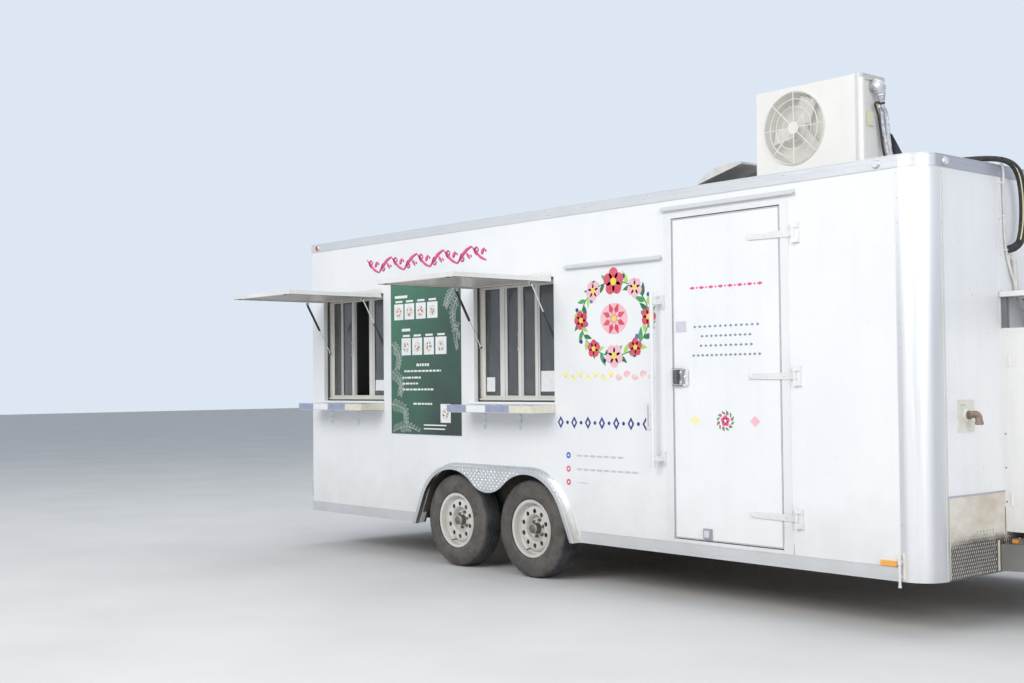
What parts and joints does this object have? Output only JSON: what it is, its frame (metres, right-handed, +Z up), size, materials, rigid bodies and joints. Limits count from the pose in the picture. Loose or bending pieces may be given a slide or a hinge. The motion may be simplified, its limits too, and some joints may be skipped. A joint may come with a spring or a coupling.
{
  "type": "food concession trailer",
  "caption": "Tandem-axle box trailer with serving windows under lift-up awnings, shelves, side and rear doors, A-frame tongue with jack and a rooftop condenser.",
  "frame": {"origin": "on the ground, on the centre line, midway between the two axles", "axes": "+X forward to the hitch, +Y to the street side, +Z up"},
  "size_m": [7.5, 3.419, 3.165],
  "materials": {
    "chassis": "satin black paint, scuffed",
    "condenser": "satin paint",
    "deck_wood": "plywood",
    "fan": "moulded",
    "glass": "clear",
    "hose_white": "flexible hose",
    "inlet": "weathered",
    "lamp_amber": "clear lens",
    "lamp_red": "clear lens",
    "line_black": "foam sleeve",
    "menu_board": "printed board",
    "polished": "bright polished sheet",
    "shelf": "brushed sheet",
    "strut_dark": "black cylinder, bright rod",
    "tread_plate": "bright five-bar tread plate",
    "tyre": "black rubber, dusty",
    "vent_plastic": "weathered",
    "weathered_wood": "weathered planks",
    "wheel_white": "gloss white paint, dusty",
    "white_panel": "semi-gloss white paint",
    "window_white": "white powder coat",
    "zinc": "zinc plated"
  },
  "bodies": {
    "trailer": {"main_rails": "chassis", "crossmembers": "chassis", "tongue_frame": "chassis", "coupler": "chassis", "tongue_jack": "zinc", "tongue_deck": "weathered_wood", "utility_box": "white_panel", "floor_deck": "deck_wood", "curb_wall": "white_panel", "street_wall": "white_panel", "front_wall": "white_panel", "corner_posts": "polished", "rear_frame": "white_panel", "roof": "white_panel", "top_rail": "polished", "bottom_rail": "polished", "stone_guard": "tread_plate", "wheel_wells": "polished", "fenders": "tread_plate", "axle_front": "chassis", "axle_rear": "chassis", "window_frames": "window_white", "window_glass": "glass", "shelves": "shelf", "menu_board": "menu_board", "drip_caps": "white_panel", "entry_door_frame": "polished", "grab_rail": "zinc", "rear_hinge_pins": "zinc", "marker_lamps": "lamp_amber", "tail_lamps": "lamp_red", "power_inlet": "inlet", "roof_vent": "vent_plastic", "condenser_case": "condenser", "condenser_grille": "strut_dark", "line_set": "line_black", "drain_hose": "hose_white", "vent_hose": "hose_white"},
    "curb_front_wheel": {"tyre_curb_front": "tyre", "wheel_curb_front": "wheel_white"},
    "curb_rear_wheel": {"tyre_curb_rear": "tyre", "wheel_curb_rear": "wheel_white"},
    "street_front_wheel": {"tyre_street_front": "tyre", "wheel_street_front": "wheel_white"},
    "street_rear_wheel": {"tyre_street_rear": "tyre", "wheel_street_rear": "wheel_white"},
    "entry_door": {"entry_door": "white_panel", "entry_door_hardware": "zinc"},
    "rear_door_curb": {"rear_door_curb": "white_panel", "rear_door_hardware_curb": "zinc"},
    "rear_door_street": {"rear_door_street": "white_panel", "rear_door_hardware_street": "zinc"},
    "awning_front": {"awning_front": "white_panel"},
    "strut_upper_front": {"strut_upper_front": "strut_dark"},
    "strut_lower_front": {"strut_lower_front": "strut_dark"},
    "awning_rear": {"awning_rear": "white_panel"},
    "strut_upper_rear": {"strut_upper_rear": "strut_dark"},
    "strut_lower_rear": {"strut_lower_rear": "strut_dark"},
    "roof_vent_lid": {"roof_vent_lid": "vent_plastic"},
    "condenser_fan": {"condenser_fan": "fan"}
  },
  "joints": [
    {"name": "curb_front_wheel_roll", "type": "hinge", "parent": "trailer", "child": "curb_front_wheel", "pos_m": [0.429, -1.1555, 0.35], "axis": [0, 1, 0], "continuous": true},
    {"name": "curb_rear_wheel_roll", "type": "hinge", "parent": "trailer", "child": "curb_rear_wheel", "pos_m": [-0.429, -1.1555, 0.35], "axis": [0, 1, 0], "continuous": true},
    {"name": "street_front_wheel_roll", "type": "hinge", "parent": "trailer", "child": "street_front_wheel", "pos_m": [0.429, 1.1555, 0.35], "axis": [0, 1, 0], "continuous": true},
    {"name": "street_rear_wheel_roll", "type": "hinge", "parent": "trailer", "child": "street_rear_wheel", "pos_m": [-0.429, 1.1555, 0.35], "axis": [0, 1, 0], "continuous": true},
    {"name": "entry_door_swing", "type": "hinge", "parent": "trailer", "child": "entry_door", "pos_m": [2.77, -1.248, 1.4185], "axis": [0, 0, 1], "range_deg": [0, 170]},
    {"name": "rear_door_curb_swing", "type": "hinge", "parent": "trailer", "child": "rear_door_curb", "pos_m": [-2.477, -1.205, 1.441], "axis": [0, 0, 1], "range_deg": [0, 180]},
    {"name": "rear_door_street_swing", "type": "hinge", "parent": "trailer", "child": "rear_door_street", "pos_m": [-2.477, 1.205, 1.441], "axis": [0, 0, -1], "range_deg": [0, 180]},
    {"name": "awning_front_lift", "type": "hinge", "parent": "trailer", "child": "awning_front", "pos_m": [0.236, -1.238, 2.148], "axis": [1, 0, 0], "range_deg": [0, 90]},
    {"name": "strut_front_swing", "type": "hinge", "parent": "awning_front", "child": "strut_upper_front", "pos_m": [0.236, -1.42, 2.092], "axis": [1, 0, 0], "range_deg": [-120, 0.5]},
    {"name": "strut_front_slide", "type": "slide", "parent": "strut_upper_front", "child": "strut_lower_front", "axis": [0, -0.49, 0.8717], "range_m": [-0.001, 0.19]},
    {"name": "awning_rear_lift", "type": "hinge", "parent": "trailer", "child": "awning_rear", "pos_m": [-1.832, -1.238, 2.148], "axis": [1, 0, 0], "range_deg": [0, 90]},
    {"name": "strut_rear_swing", "type": "hinge", "parent": "awning_rear", "child": "strut_upper_rear", "pos_m": [-1.832, -1.42, 2.092], "axis": [1, 0, 0], "range_deg": [-120, 0.5]},
    {"name": "strut_rear_slide", "type": "slide", "parent": "strut_upper_rear", "child": "strut_lower_rear", "axis": [0, -0.49, 0.8717], "range_m": [-0.001, 0.19]},
    {"name": "roof_vent_lid_tilt", "type": "hinge", "parent": "trailer", "child": "roof_vent_lid", "pos_m": [1.551, -0.48, 2.743], "axis": [0, 1, 0], "range_deg": [-50, 14]},
    {"name": "condenser_fan_spin", "type": "hinge", "parent": "trailer", "child": "condenser_fan", "pos_m": [2.673, -1.023, 2.915], "axis": [0, 1, 0], "continuous": true}
  ],
  "couplings": [
    {"joint": "strut_front_swing", "follows": "awning_front_lift", "ratio": -1.3217},
    {"joint": "strut_front_slide", "follows": "awning_front_lift", "m_per_rad": 0.12021},
    {"joint": "strut_rear_swing", "follows": "awning_rear_lift", "ratio": -1.3217},
    {"joint": "strut_rear_slide", "follows": "awning_rear_lift", "m_per_rad": 0.12021}
  ]
}
